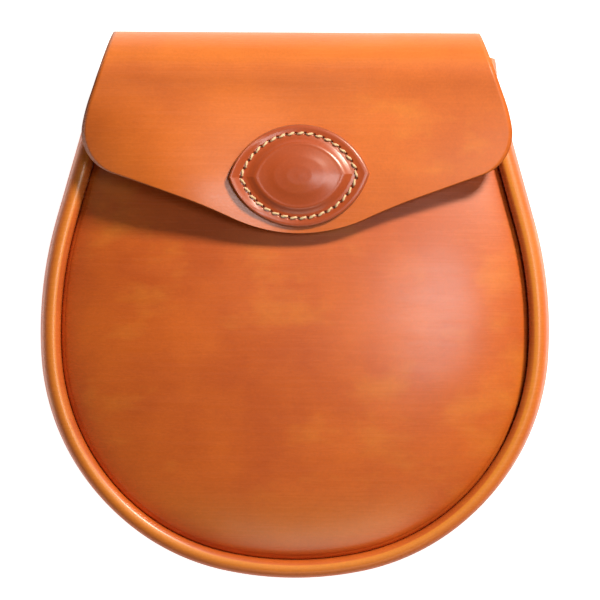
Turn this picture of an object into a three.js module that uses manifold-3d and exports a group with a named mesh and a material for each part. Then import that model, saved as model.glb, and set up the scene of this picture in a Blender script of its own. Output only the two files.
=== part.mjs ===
// Sporran pouch: a turned-seam leather bag with a wet-moulded front, a gusset whose folded edges
// stand up as a roll all round, and a flap that is one piece with the back. Millimetres, +Z up.
// The pouch lies on its back: X across, +Y towards the fold at the top, +Z out of the front.
// The origin is on the floor, under the middle of the outline.
import * as THREE from "three";
import Module from "manifold-3d";
import { mergeVertices } from "three/addons/utils/BufferGeometryUtils.js";

const wasm = await Module();
wasm.setup();

// --- Driving dimensions ---------------------------------------------------------------------
const TOP = 99.2;                // the fold, measured up from the middle of the outline
const BOTTOM = -99.2;            // the lowest point of the roll
const WIDEST = -10.5;            // where the bag is widest, and where its dome is highest
const LEATHER = 2.2;             // back, flap and front panel
const GUSSET_LEATHER = 2.0;
const GAP = 0.3;                 // left between two pieces that lie on each other

// Half outline of the bag seen from the front, from its lowest point up the right side.
const BAG_OUTLINE = [
  { radius: 124.6, turn: 12.2 },
  { radius: 84.4, turn: 73.9 },
  { radius: 149.8, turn: 19.4 },
  { straight: 70 },
];
// Between these heights the sections turn from square to the outline to level.
const LEVEL_FROM = 60;
const LEVEL_TO = 88;
// Half outline of the flap, from the middle of its tip round the corner and up to the fold.
const FLAP_TIP = 25.5;
const FLAP_OUTLINE = [
  { radius: 58.8, turn: 25.0 },
  { radius: 211, turn: -5.3 },
  { straight: 25.1 },
  { radius: 16.3, turn: 78.2 },
  { radius: 57.3, turn: 10.7 },
  { straight: 60 },
];
const FLAP_LEAN = 1.2;           // the tip hangs this far to the right of the fold's middle

// Gusset: a strip whose two long edges are folded in, one along the front and one along the back.
const ROLL_RADIUS = 3.2;         // outside of the folded edge
const SEAM_ALLOWANCE = 6;        // depth of the folded edge below the roll
const GUSSET_TOP = 90.2;
const SIDE_BULGE = 1.7;          // the sides belly out between the two rolls
const CORNER_FLARE = 1.9;        // the right end of the strip stands out past the flap
const FLARE_START = 78;          // from this height up
const DEPTH = 40;                // back roll to front roll, over the lower half
const TOP_THINNING = 10.5;       // how much thinner the bag is at its top
const THINNING_START = -30;
const THINNING_LENGTH = 120;

// Front panel: its edge is turned down into the seam, and its middle is a moulded dome.
const SEAM_GROOVE = 5;           // the dome starts this far below the roll
const PANEL_BEND = 2.5;          // the edge turns down round this radius
const PANEL_BEND_TURN = 65;      // through this angle
const PANEL_EDGE = 12;           // its cut edge lies this far below the roll
const DOME_HEIGHT = 7;           // above the roll, where it is highest
const MOUTH = 74;                // the cut upper edge of the front panel
const MOUTH_HEIGHT = 1;          // dome height above the roll at the mouth
const DOME_FLATNESS = 2.5;       // larger is flatter in the middle
const DOME_SHOULDER = 1.3;       // larger is squarer near the seam

// Back panel and fold.
const BACK_FACE = 6.2;           // outer face of the back, above the floor
const BACK_RIM = 6.3;            // height of its turned edge
const BACK_BEND = 2.5;
const FOLD_RADIUS = 19;          // outside of the fold
const FOLD_CENTRE = TOP - FOLD_RADIUS;
const FOLD_AXIS = BACK_FACE + FOLD_RADIUS;
const BACK_SEAM_TOP = 83;        // the turned edge of the back ends here
const NECK_HALF = 60;            // half width of the back above it
const FOLD_HALF = 67.7;          // half width of the fold itself
// Turns round the fold: -90 degrees is the back's face, 0 the fold's edge, 90 the flap's face.
const NECK_TURNS = [-75, -58];
const FOLD_TURNS = [-54, -38, -19, 0];
const FLAP_TURNS = [19, 38, 57, 73];
const NECK_OVERLAP = 5;          // flat stretch that the neck shares with the back

// How the flap lies: it climbs from the fold over the dome, its corners fall towards the rolls,
// and the stud draws it down into a shallow valley.
const FLAP_LIFT = 9.85;
const FLAP_LIFT_REACH = 19.7;
const FLAP_SPAN = 76;
const FLAP_LEFT_FALL = 13;
const FLAP_RIGHT_FALL = 6.5;
const FLAP_VALLEY = { x: 2, depth: 4.2, width: 25 };
const VALLEY_ON_RIGHT = 0.65;    // this much of its depth carries on to the right edge

// Patch on the flap: a pointed oval with a moulded boss.
const PATCH = { x: 1.3, y: 46.2, length: 50, height: 36.5, turn: 2 };
const PATCH_RELIEF = [
  { scale: 1.0, height: 1.1 },
  { scale: 0.97, height: 1.6 },
  { scale: 0.83, height: 1.5 },
  { scale: 0.74, height: 1.8 },
  { scale: 0.68, height: 3.0 },
  { scale: 0.62, height: 4.2 },
  { scale: 0.5, height: 4.4 },
  { scale: 0.3, height: 5.1 },
  { scale: 0.0, height: 5.5 },
];
const STUD = { diameter: 12, thickness: 4.7 };

// Belt loops on the back, seen from the side: place along the loop and height of the outer face.
const LOOP = { x: 30, y: 38, width: 22, leather: 1.8 };
const LOOP_SECTION = [
  { along: -27, height: 4.1 },
  { along: -18.5, height: 4.1 },
  { along: -13, height: 0 },
  { along: 13, height: 0 },
  { along: 18.5, height: 4.1 },
  { along: 27, height: 4.1 },
];

// --- Outlines -------------------------------------------------------------------------------
const radians = THREE.MathUtils.degToRad;
const { clamp, lerp, smoothstep } = THREE.MathUtils;

// Follows a table of arcs and straights from a start point, heading along +X, and gives the
// point and heading at any length along it.
function outline(startY, table) {
  const pieces = [];
  let x = 0;
  let y = startY;
  let heading = 0;
  let from = 0;
  for (const row of table) {
    const turn = radians(row.turn ?? 0);
    const length = row.straight ?? row.radius * Math.abs(turn);
    pieces.push({ x, y, heading, from, length, bend: turn / length });
    const end = alongPiece(pieces.at(-1), length);
    x = end.x;
    y = end.y;
    heading = end.heading;
    from += length;
  }
  return (length) => {
    const piece = pieces.findLast((each) => each.from <= length) ?? pieces[0];
    return alongPiece(piece, length - piece.from);
  };
}

function alongPiece(piece, length) {
  const heading = piece.heading + piece.bend * length;
  if (piece.bend === 0) {
    const x = piece.x + length * Math.cos(heading);
    return { x, y: piece.y + length * Math.sin(heading), heading };
  }
  const x = piece.x + (Math.sin(heading) - Math.sin(piece.heading)) / piece.bend;
  const y = piece.y - (Math.cos(heading) - Math.cos(piece.heading)) / piece.bend;
  return { x, y, heading };
}

// The length at which a rising quantity reaches a value.
function lengthWhere(quantity, value, longest) {
  let low = 0;
  let high = longest;
  for (let step = 0; step < 50; step += 1) {
    const middle = (low + high) / 2;
    if (quantity(middle) < value) low = middle;
    else high = middle;
  }
  return low;
}

const bagOutline = outline(BOTTOM, BAG_OUTLINE);
const flapOutline = outline(FLAP_TIP, FLAP_OUTLINE);
const LONGEST = 330;

// A station on the bag's outline: a signed length from the lowest point, right side positive.
function station(length) {
  const side = length < 0 ? -1 : 1;
  const at = bagOutline(Math.abs(length));
  const bulge = SIDE_BULGE * Math.sin(at.heading) ** 2;
  const level = smoothstep(at.y, LEVEL_FROM, LEVEL_TO);
  const inward = new THREE.Vector2(-Math.sin(at.heading), Math.cos(at.heading));
  inward.lerp(new THREE.Vector2(-1, 0), level).normalize();
  return { side, x: at.x, y: at.y, bulge, inward };
}

// The point of the outline at a distance inward from the silhouette.
function inwardPoint(length, distance) {
  const at = station(length);
  return new THREE.Vector2(
    at.side * (at.x + distance * at.inward.x),
    at.y + distance * at.inward.y,
  );
}

const seamDistance = (length) => station(length).bulge + 2 * ROLL_RADIUS + GAP;
const seamPoint = (length) => inwardPoint(length, seamDistance(length));
const seamLengthAt = (y) => lengthWhere((length) => seamPoint(length).y, y, LONGEST);

// --- Heights --------------------------------------------------------------------------------
function frontCrest(y) {
  const climb = clamp((y - THINNING_START) / THINNING_LENGTH, 0, 1);
  return DEPTH - TOP_THINNING * climb ** 2;
}

function domeHeight(y) {
  const climb = clamp((y - WIDEST) / (MOUTH - WIDEST), 0, 1);
  return DOME_HEIGHT - (DOME_HEIGHT - MOUTH_HEIGHT) * climb ** 2;
}

// Underside of the flap below the fold.
function flapUnderside(x, y) {
  const below = FOLD_CENTRE - y;
  const settled = below ** 2 / (below ** 2 + FLAP_LIFT_REACH ** 2);
  const across = x / FLAP_SPAN;
  const fall = x < 0 ? FLAP_LEFT_FALL * across ** 4 : FLAP_RIGHT_FALL * across ** 2;
  const dip = Math.exp(-(((x - FLAP_VALLEY.x) / FLAP_VALLEY.width) ** 2));
  const carried = x > FLAP_VALLEY.x ? lerp(dip, 1, VALLEY_ON_RIGHT) : dip;
  const lift = FLAP_LIFT - fall - FLAP_VALLEY.depth * carried;
  return FOLD_AXIS + FOLD_RADIUS - LEATHER + settled * lift;
}

function flapNormal(x, y) {
  const step = 0.5;
  const slopeX = (flapUnderside(x + step, y) - flapUnderside(x - step, y)) / (2 * step);
  const slopeY = (flapUnderside(x, y + step) - flapUnderside(x, y - step)) / (2 * step);
  return new THREE.Vector3(-slopeX, -slopeY, 1).normalize();
}

const flapLean = (y) => FLAP_LEAN * (TOP - y) / (TOP - FLAP_TIP);

// --- Closed sheets --------------------------------------------------------------------------
// Two grids of points, the outer and the inner face of a piece of leather, joined into one
// closed body. open names the borders that are not walled, because the faces meet there.
function sheetBody(outer, inner, open = []) {
  const rows = outer.length;
  const columns = outer[0].length;
  const positions = [...outer.flat(), ...inner.flat()].flatMap((point) => point.toArray());
  const out = (i, j) => i * columns + j;
  const into = (i, j) => rows * columns + i * columns + j;
  const faces = [];
  const quad = (a, b, c, d) => faces.push(a, b, c, a, c, d);
  for (let i = 0; i < rows - 1; i += 1) {
    for (let j = 0; j < columns - 1; j += 1) {
      quad(out(i, j), out(i + 1, j), out(i + 1, j + 1), out(i, j + 1));
      quad(into(i, j), into(i, j + 1), into(i + 1, j + 1), into(i + 1, j));
    }
  }
  const last = { row: rows - 1, column: columns - 1 };
  for (let i = 0; i < rows - 1; i += 1) {
    quad(out(i + 1, 0), out(i, 0), into(i, 0), into(i + 1, 0));
    if (open.includes("last column")) continue;
    const j = last.column;
    quad(out(i, j), out(i + 1, j), into(i + 1, j), into(i, j));
  }
  for (let j = 0; j < columns - 1; j += 1) {
    const i = last.row;
    quad(out(0, j), out(0, j + 1), into(0, j + 1), into(0, j));
    quad(out(i, j + 1), out(i, j), into(i, j), into(i, j + 1));
  }
  return closedGeometry(positions, faces);
}

// Merges shared points, drops the triangles that vanish, and turns the faces outward.
function closedGeometry(positions, faces) {
  const raw = new THREE.BufferGeometry();
  raw.setAttribute("position", new THREE.Float32BufferAttribute(positions, 3));
  raw.setIndex(faces);
  const merged = mergeVertices(raw, 1e-3);
  const index = Array.from(merged.index.array);
  const kept = [];
  let volume = 0;
  const corner = [new THREE.Vector3(), new THREE.Vector3(), new THREE.Vector3()];
  for (let k = 0; k < index.length; k += 3) {
    const [a, b, c] = index.slice(k, k + 3);
    if (a === b || b === c || c === a) continue;
    kept.push([a, b, c]);
    [a, b, c].forEach((vertex, n) => corner[n].fromBufferAttribute(merged.attributes.position, vertex));
    volume += corner[0].dot(corner[1].clone().cross(corner[2])) / 6;
  }
  merged.setIndex(kept.flatMap(([a, b, c]) => (volume > 0 ? [a, b, c] : [a, c, b])));
  return merged;
}

// The second face of a bent section, a leather thickness from the first. A section is a list of
// { d, z } points; level ends keep the last point straight above or below the first face's.
function offsetSection(section, thickness, levelEnd = false) {
  return section.map((point, k) => {
    const before = section[Math.max(k - 1, 0)];
    const after = section[Math.min(k + 1, section.length - 1)];
    const along = new THREE.Vector2(after.d - before.d, after.z - before.z).normalize();
    if (levelEnd && k === section.length - 1) along.set(1, 0);
    return { d: point.d + along.y * thickness, z: point.z - along.x * thickness };
  });
}

function toManifold(geometry) {
  const vertProperties = new Float32Array(geometry.attributes.position.array);
  const triVerts = new Uint32Array(geometry.index.array);
  return new wasm.Manifold(new wasm.Mesh({ numProp: 3, vertProperties, triVerts }));
}

function toGeometry(solid) {
  const mesh = solid.getMesh();
  const geometry = new THREE.BufferGeometry();
  geometry.setAttribute("position", new THREE.Float32BufferAttribute(mesh.vertProperties, 3));
  geometry.setIndex(Array.from(mesh.triVerts));
  return geometry;
}

// Evenly spread values from one end to the other.
function spread(from, to, steps) {
  return Array.from({ length: steps + 1 }, (_, k) => lerp(from, to, k / steps));
}

// --- Front and back panels ------------------------------------------------------------------
// A panel sewn into the outline. Each of its sections starts at the seam and runs to the spine:
// straight across above the widest place, and to one point below it.
function panelBody(top, steps, sectionAt, thickness) {
  const reach = seamLengthAt(top);
  const rows = spread(-reach, reach, steps).map((length) => {
    const seam = seamPoint(length);
    const spine = new THREE.Vector2(0, Math.max(seam.y, WIDEST));
    const width = seam.distanceTo(spine);
    const direction = spine.clone().sub(seam).divideScalar(width);
    const place = ({ d, z }) => new THREE.Vector3(
      seam.x + d * direction.x,
      seam.y + d * direction.y,
      z,
    );
    const section = sectionAt(width, frontCrest(seam.y), domeHeight(seam.y));
    return { outer: section.map(place), inner: offsetSection(section, thickness, true).map(place) };
  });
  return sheetBody(rows.map((row) => row.outer), rows.map((row) => row.inner), ["last column"]);
}

// Outer face of the front panel: up out of the seam, round its bend and across the dome.
function frontSection(width, crest, dome) {
  const shares = [0.05, 0.12, 0.22, 0.36, 0.52, 0.72, 1];
  const base = crest - SEAM_GROOVE;
  const turn = radians(PANEL_BEND_TURN);
  const bend = spread(0, turn, 3).map((angle) => ({
    d: PANEL_BEND * (1 - Math.cos(angle)),
    z: base - PANEL_BEND * (Math.sin(turn) - Math.sin(angle)),
  }));
  const start = bend.at(-1).d;
  return [
    { d: 0, z: crest - PANEL_EDGE },
    ...bend,
    ...shares.map((share) => ({
      d: lerp(start, width, share),
      z: base + (SEAM_GROOVE + dome) * domeRise(share),
    })),
  ];
}

// Rise of the dome from seam to spine, as a share of its height.
function domeRise(share) {
  return (1 - (1 - share) ** DOME_FLATNESS) ** (1 / DOME_SHOULDER);
}

// Outer face of the back panel: down out of the seam, round a small bend and flat across.
function backSection(width) {
  const bend = spread(0, 90, 3).map((angle) => ({
    d: BACK_BEND * (1 - Math.cos(radians(angle))),
    z: BACK_FACE + BACK_BEND * (1 - Math.sin(radians(angle))),
  }));
  const flat = [BACK_BEND + 1, width].map((d) => ({ d, z: BACK_FACE }));
  return [{ d: 0, z: BACK_FACE + BACK_RIM }, ...bend, ...flat];
}

// --- Gusset ---------------------------------------------------------------------------------
function gussetBody() {
  const bend = ROLL_RADIUS - GUSSET_LEATHER;
  const reach = lengthWhere((length) => bagOutline(length).y, GUSSET_TOP, LONGEST);
  const half = spread(0, reach, 24);
  const lengths = [...half.slice(1).reverse().map((length) => -length), ...half];
  const rows = lengths.map((length) => {
    const at = station(length);
    const flare = at.side > 0 ? CORNER_FLARE * smoothstep(at.y, FLARE_START, GUSSET_TOP) : 0;
    const place = ({ d, z }) => new THREE.Vector3(
      at.side * (at.x + flare + d * at.inward.x),
      at.y + d * at.inward.y,
      z,
    );
    const section = gussetSection(at.bulge, frontCrest(at.y), bend);
    return {
      outer: offsetSection(section, GUSSET_LEATHER).map(place),
      inner: section.map(place),
    };
  });
  return sheetBody(rows.map((row) => row.outer), rows.map((row) => row.inner));
}

// Inner face of the gusset, from the front cut edge over the front roll, down the side wall and
// under the back roll to the back cut edge.
function gussetSection(bulge, crest, bend) {
  const centre = bulge + ROLL_RADIUS;
  const turn = [0, 45, 90, 135, 180].map(radians);
  const wallFrom = crest - ROLL_RADIUS;
  const wall = [0.25, 0.5, 0.75].map((share) => ({
    d: GUSSET_LEATHER + bulge * (1 - Math.sin(Math.PI * share)),
    z: lerp(wallFrom, ROLL_RADIUS, share),
  }));
  return [
    { d: centre + bend, z: wallFrom - SEAM_ALLOWANCE },
    ...turn.map((angle) => ({
      d: centre + bend * Math.cos(angle),
      z: wallFrom + bend * Math.sin(angle),
    })),
    ...wall,
    ...turn.map((angle) => ({
      d: centre - bend * Math.cos(angle),
      z: ROLL_RADIUS - bend * Math.sin(angle),
    })),
    { d: centre + bend, z: ROLL_RADIUS + SEAM_ALLOWANCE },
  ];
}

// --- Back, fold and flap --------------------------------------------------------------------
// One piece of leather, made as two bodies that share a flat stretch below the fold and are
// then joined.
function backAndFlapBody() {
  const back = panelBody(BACK_SEAM_TOP, 40, backSection, -LEATHER);
  return toGeometry(toManifold(back).add(toManifold(foldAndFlap())));
}

function foldAndFlap() {
  const rows = [flatRow(FOLD_CENTRE - NECK_OVERLAP), flatRow(FOLD_CENTRE)];
  for (const angle of NECK_TURNS) rows.push(foldRow(angle, NECK_HALF));
  for (const angle of FOLD_TURNS) rows.push(foldRow(angle, FOLD_HALF));
  for (const angle of FLAP_TURNS) rows.push(foldRow(angle));
  const reach = lengthWhere((length) => flapOutline(length).y, FOLD_CENTRE, LONGEST);
  for (const length of spread(reach, 0, 26)) rows.push(flapRow(flapOutline(length)));
  return sheetBody(rows.map((row) => row.outer), rows.map((row) => row.inner));
}

const ACROSS = spread(-1, 1, 14);

function flatRow(y) {
  const at = (z) => ACROSS.map((share) => new THREE.Vector3(share * NECK_HALF, y, z));
  return { outer: at(BACK_FACE), inner: at(BACK_FACE + LEATHER) };
}

// A row of points round the fold at one turn.
function foldRow(angle, halfWidth) {
  const cos = Math.cos(radians(angle));
  const sin = Math.sin(radians(angle));
  const edge = FOLD_CENTRE + FOLD_RADIUS * cos;
  const half = halfWidth ?? flapHalfWidth(edge);
  const lean = halfWidth ? 0 : flapLean(edge);
  const at = (radius) => ACROSS.map((share) => new THREE.Vector3(
    lean + share * half,
    FOLD_CENTRE + radius * cos,
    FOLD_AXIS + radius * sin,
  ));
  return { outer: at(FOLD_RADIUS), inner: at(FOLD_RADIUS - LEATHER) };
}

function flapHalfWidth(y) {
  return flapOutline(lengthWhere((length) => flapOutline(length).y, y, LONGEST)).x;
}

function flapRow(edge) {
  const inner = ACROSS.map((share) => {
    const x = flapLean(edge.y) + share * edge.x;
    return new THREE.Vector3(x, edge.y, flapUnderside(x, edge.y));
  });
  const outer = inner.map((point) => point.clone().addScaledVector(
    flapNormal(point.x, point.y),
    LEATHER,
  ));
  return { outer, inner };
}

// --- Patch, stud and belt loops -------------------------------------------------------------
// The face that the patch lies on: the flap's outer face and a small gap.
function patchSeat(x, y) {
  return flapUnderside(x, y) + LEATHER / flapNormal(x, y).z + GAP;
}

function patchRelief(scale) {
  const row = PATCH_RELIEF.findIndex((each) => each.scale <= scale);
  if (row <= 0) return PATCH_RELIEF[0].height;
  const outside = PATCH_RELIEF[row - 1];
  const inside = PATCH_RELIEF[row];
  const share = (outside.scale - scale) / (outside.scale - inside.scale);
  return lerp(outside.height, inside.height, share);
}

// Rings of the pointed oval, two arcs that meet in points left and right, from edge to middle.
function patchBody() {
  const halfLength = PATCH.length / 2;
  const halfHeight = PATCH.height / 2;
  const radius = (halfLength ** 2 + halfHeight ** 2) / PATCH.height;
  const sweep = Math.asin(halfLength / radius);
  const turn = radians(PATCH.turn);
  const edge = [...spread(-sweep, sweep, 16), ...spread(sweep, -sweep, 16).map((a) => Math.PI - a)];
  const ring = edge.map((angle) => {
    const upper = Math.abs(angle) <= sweep + 1e-9;
    const x = radius * Math.sin(angle);
    const y = radius * Math.cos(angle) + (upper ? -1 : 1) * (radius - halfHeight);
    return new THREE.Vector2(x, y).rotateAround(new THREE.Vector2(), turn);
  });
  const faces = PATCH_RELIEF.map(({ scale }) => ring.map((point) => {
    const x = PATCH.x + scale * point.x;
    const y = PATCH.y + scale * point.y;
    return { x, y, seat: patchSeat(x, y), relief: patchRelief(scale) };
  }));
  const outer = faces.map((row) => row.map(({ x, y, seat, relief }) => (
    new THREE.Vector3(x, y, seat + relief))));
  const inner = faces.map((row) => row.map(({ x, y, seat }) => new THREE.Vector3(x, y, seat)));
  return closedRings(outer, inner);
}

// Joins rings that close on themselves, the last of which is one point.
function closedRings(outer, inner) {
  const columns = outer[0].length;
  const positions = [...outer.flat(), ...inner.flat()].flatMap((point) => point.toArray());
  const faces = [];
  const quad = (a, b, c, d) => faces.push(a, b, c, a, c, d);
  const shift = outer.length * columns;
  for (let j = 0; j < columns; j += 1) {
    const next = (j + 1) % columns;
    quad(next, j, shift + j, shift + next);
    for (let i = 0; i < outer.length - 1; i += 1) {
      const near = i * columns;
      const far = near + columns;
      quad(near + j, near + next, far + next, far + j);
      quad(shift + near + next, shift + near + j, shift + far + j, shift + far + next);
    }
  }
  return closedGeometry(positions, faces);
}

// The press stud sits between the dome and the flap, square to the line midway between them.
function pressStud() {
  const below = (y) => frontCrest(y) + domeHeight(y);
  const above = (y) => flapUnderside(PATCH.x, y);
  const middle = (y) => (below(y) + above(y)) / 2;
  const half = STUD.diameter / 2;
  const slope = (middle(PATCH.y + half) - middle(PATCH.y - half)) / STUD.diameter;
  const geometry = new THREE.CylinderGeometry(half, half, STUD.thickness, 24);
  geometry.rotateX(Math.PI / 2 + Math.atan(slope));
  geometry.translate(PATCH.x, PATCH.y, middle(PATCH.y));
  return geometry;
}

function beltLoop(side) {
  const section = LOOP_SECTION.map(({ along, height }) => ({ d: along, z: height }));
  const edges = [-LOOP.width / 2, LOOP.width / 2];
  const grid = (points) => points.map(({ d, z }) => edges.map((x) => (
    new THREE.Vector3(side * LOOP.x + x, LOOP.y + d, z))));
  return sheetBody(grid(section), grid(offsetSection(section, -LOOP.leather)));
}

// --- The pouch ------------------------------------------------------------------------------
const FINISH = {
  tan: { color: 0xd87333, roughness: 0.42, metalness: 0 },
  patch: { color: 0xc2663a, roughness: 0.32, metalness: 0 },
  brass: { color: 0xb08a4a, roughness: 0.35, metalness: 1 },
};

const pouch = new THREE.Group();

function addPiece(name, geometry, finish) {
  const mesh = new THREE.Mesh(geometry, new THREE.MeshStandardMaterial(finish));
  mesh.name = name;
  pouch.add(mesh);
}

addPiece("back_and_flap", backAndFlapBody(), FINISH.tan);
addPiece("front_panel", panelBody(MOUTH, 48, frontSection, LEATHER), FINISH.tan);
addPiece("gusset", gussetBody(), FINISH.tan);
addPiece("flap_patch", patchBody(), FINISH.patch);
addPiece("press_stud", pressStud(), FINISH.brass);
addPiece("belt_loop_left", beltLoop(-1), FINISH.tan);
addPiece("belt_loop_right", beltLoop(1), FINISH.tan);

export default pouch;
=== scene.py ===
"""A leather sporran pouch lying on its back: leather, stitching and studio round the CAD frame."""
import math

import bpy
import numpy as np
from bpy.props import FloatProperty, FloatVectorProperty, IntProperty, PointerProperty
from bpy.types import NodeSocket, Operator, Panel, PropertyGroup
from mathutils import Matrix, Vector


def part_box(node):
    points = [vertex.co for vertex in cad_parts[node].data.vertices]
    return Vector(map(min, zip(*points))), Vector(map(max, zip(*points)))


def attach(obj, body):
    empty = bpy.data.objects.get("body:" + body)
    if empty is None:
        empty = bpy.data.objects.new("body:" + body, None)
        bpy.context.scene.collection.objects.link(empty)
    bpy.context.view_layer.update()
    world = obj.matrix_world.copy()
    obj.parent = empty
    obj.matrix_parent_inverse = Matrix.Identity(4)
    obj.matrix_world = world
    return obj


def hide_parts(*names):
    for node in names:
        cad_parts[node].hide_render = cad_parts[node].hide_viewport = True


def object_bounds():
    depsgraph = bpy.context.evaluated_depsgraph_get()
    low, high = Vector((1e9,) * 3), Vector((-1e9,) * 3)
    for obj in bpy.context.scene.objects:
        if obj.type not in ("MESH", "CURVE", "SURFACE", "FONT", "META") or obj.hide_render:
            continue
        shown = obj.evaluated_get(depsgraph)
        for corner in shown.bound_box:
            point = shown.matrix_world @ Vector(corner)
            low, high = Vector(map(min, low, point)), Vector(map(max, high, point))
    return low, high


bl_info = {
    "name": "Sporran pouch",
    "version": (1, 0, 0),
    "blender": (4, 5, 0),
    "location": "3D View > Sidebar > Sporran",
    "description": "Makes the leather pieces, stitching, finishes and studio of a sporran pouch",
    "category": "Object",
}

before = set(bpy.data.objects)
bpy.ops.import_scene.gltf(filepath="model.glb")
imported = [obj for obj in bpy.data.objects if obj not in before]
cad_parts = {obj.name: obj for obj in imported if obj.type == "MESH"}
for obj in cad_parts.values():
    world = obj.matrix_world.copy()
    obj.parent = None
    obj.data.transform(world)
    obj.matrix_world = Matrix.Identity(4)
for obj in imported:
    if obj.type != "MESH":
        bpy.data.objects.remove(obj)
CAD_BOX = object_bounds()

# Shapes are worked out in millimetres and turned into metres as each mesh is made.
MM = 0.001


def box_mm(node):
    """Lowest and highest corner of a CAD node, in millimetres."""
    low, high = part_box(node)
    return np.array(low) / MM, np.array(high) / MM


GUSSET_LOW, GUSSET_HIGH = box_mm("gusset")
BACK_LOW, BACK_HIGH = box_mm("back_and_flap")
FRONT_HIGH = box_mm("front_panel")[1]
PATCH_LOW, PATCH_HIGH = box_mm("flap_patch")
STUD_LOW, STUD_HIGH = box_mm("press_stud")

TOP = BACK_HIGH[1]
BOTTOM = GUSSET_LOW[1]
DEPTH = GUSSET_HIGH[2]
GUSSET_TOP = GUSSET_HIGH[1]
BACK_FACE = BACK_LOW[2]
MOUTH = FRONT_HIGH[1]
DOME_TOP = FRONT_HIGH[2]
PATCH_MIDDLE = (PATCH_LOW + PATCH_HIGH) / 2
WIDEST = -10.5
SPINE_BLEND = 14.0              # over which the sections' meeting point leaves WIDEST

# Half outline of the bag, from its lowest point up the right side, and of the flap, from its tip.
BAG_OUTLINE = (
    {"radius": 124.6, "turn": 12.2},
    {"radius": 84.4, "turn": 73.9},
    {"radius": 149.8, "turn": 19.4},
    {"straight": 70.0},
)
FLAP_TIP = 25.5
FLAP_OUTLINE = (
    {"radius": 58.8, "turn": 25.0},
    {"radius": 211.0, "turn": -5.3},
    {"straight": 25.1},
    {"radius": 16.3, "turn": 78.2},
    {"radius": 57.3, "turn": 10.7},
    {"straight": 60.0},
)
FLAP_LEAN = 1.2

SIDE_BULGE = 1.7
LEVEL_FROM, LEVEL_TO = 60, 88   # the seam's inward direction turns level between these heights
CORNER_FLARE = 1.9
FLARE_START = 78
SEAM_GAP = 0.08                 # the seen sheets all but touch at the seams
SEAM_ALLOWANCE = 6.0
TOP_THINNING = 10.5
THINNING_START = -30.0
THINNING_LENGTH = 120.0
SEAM_GROOVE = 5.0
PANEL_BEND = 2.5
PANEL_BEND_TURN = 65.0
PANEL_EDGE = 12.0
MOUTH_HEIGHT = 1.0
DOME_FLATNESS = 2.5
DOME_SHOULDER = 1.3
BACK_RIM = 6.3
BACK_BEND = 2.5
BACK_SEAM_TOP = 83.0
NECK_HALF = 60.0
NECK_END = -58                  # degrees round the fold where the narrow neck widens
FOLD_STEP = 4                   # degrees between rows round the fold
SEAT_GAP = 0.08                 # patch above flap
FOLD_RADIUS = 19.0
FOLD_CENTRE = TOP - FOLD_RADIUS
FOLD_AXIS = BACK_FACE + FOLD_RADIUS
FLAP_LIFT = 9.85
FLAP_LIFT_REACH = 19.7
FLAP_SPAN = 76.0
FLAP_RIGHT_FALL = 6.5
FLAP_VALLEY = {"x": 2.0, "width": 25.0}
VALLEY_ON_RIGHT = 0.65
# The flap swells a little beside the patch, where the stud draws it down.
SWELL = {"x": -49.0, "y": 44.0, "height": 3.4, "reach": 15.0}
PATCH = {"length": 50.0, "height": 36.5, "turn": 2.0}
LOOP_LEATHER = 1.8
LOOP_SECTION = (
    {"along": -27.0, "height": 4.1},
    {"along": -18.5, "height": 4.1},
    {"along": -13.0, "height": 0.0},
    {"along": 13.0, "height": 0.0},
    {"along": 18.5, "height": 4.1},
    {"along": 27.0, "height": 4.1},
)


AMBER = "#e88f30"               # where the dye took lightly, and the colour of painted light on the roll crests, lower panel and fold


# --- Sizes and colours a user would change -------------------------------------------------------
def linear(hex_colour):
    """Turns an sRGB hex colour into a linear colour with alpha."""
    parts = [int(hex_colour[k:k + 2], 16) / 255 for k in (1, 3, 5)]
    return (*((p / 12.92) if p <= 0.04045 else ((p + 0.055) / 1.055) ** 2.4 for p in parts), 1.0)


class SporranSizes(PropertyGroup):
    leather: FloatProperty(
        name="Leather thickness", description="Back, flap and front panel",
        default=2.2 * MM, unit="LENGTH", precision=4)
    gusset_leather: FloatProperty(
        name="Gusset thickness", description="Leather of the strip round the sides",
        default=2.0 * MM, unit="LENGTH", precision=4)
    roll_radius: FloatProperty(
        name="Roll radius", description="Outside of the gusset's folded edge",
        default=3.2 * MM, unit="LENGTH", precision=4)
    left_fall: FloatProperty(
        name="Left corner fall", description="How far the flap's left corner falls to the roll",
        default=13.0 * MM, unit="LENGTH", precision=4)
    valley: FloatProperty(
        name="Flap valley", description="How far the stud draws the flap down",
        default=4.2 * MM, unit="LENGTH", precision=4)
    stitches: IntProperty(
        name="Patch stitches", description="Stitches round the patch", default=33, min=12)
    thread: FloatProperty(
        name="Thread diameter", description="Waxed linen thread",
        default=0.85 * MM, unit="LENGTH", precision=5)
    hole: FloatProperty(
        name="Awl hole", description="Width of each stitch hole",
        default=1.0 * MM, unit="LENGTH", precision=5)


class SporranColours(PropertyGroup):
    tan: FloatVectorProperty(
        name="Tan leather", description="Main tone of the waxed leather",
        subtype="COLOR", size=4, default=linear("#d8691f"))
    tan_dark: FloatVectorProperty(
        name="Tan shade", description="Darker areas of the dye",
        subtype="COLOR", size=4, default=linear("#c4581a"))
    patch: FloatVectorProperty(
        name="Patch leather", description="Main tone of the polished patch",
        subtype="COLOR", size=4, default=linear("#ae4a1c"))
    flesh: FloatVectorProperty(
        name="Flesh side", description="Unfinished inner side of the leather",
        subtype="COLOR", size=4, default=linear("#c08a5c"))
    edge: FloatVectorProperty(
        name="Cut edge", description="Burnished cut edges",
        subtype="COLOR", size=4, default=linear("#a9592e"))
    thread: FloatVectorProperty(
        name="Thread", description="Waxed linen thread",
        subtype="COLOR", size=4, default=linear("#e9cb9c"))


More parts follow.
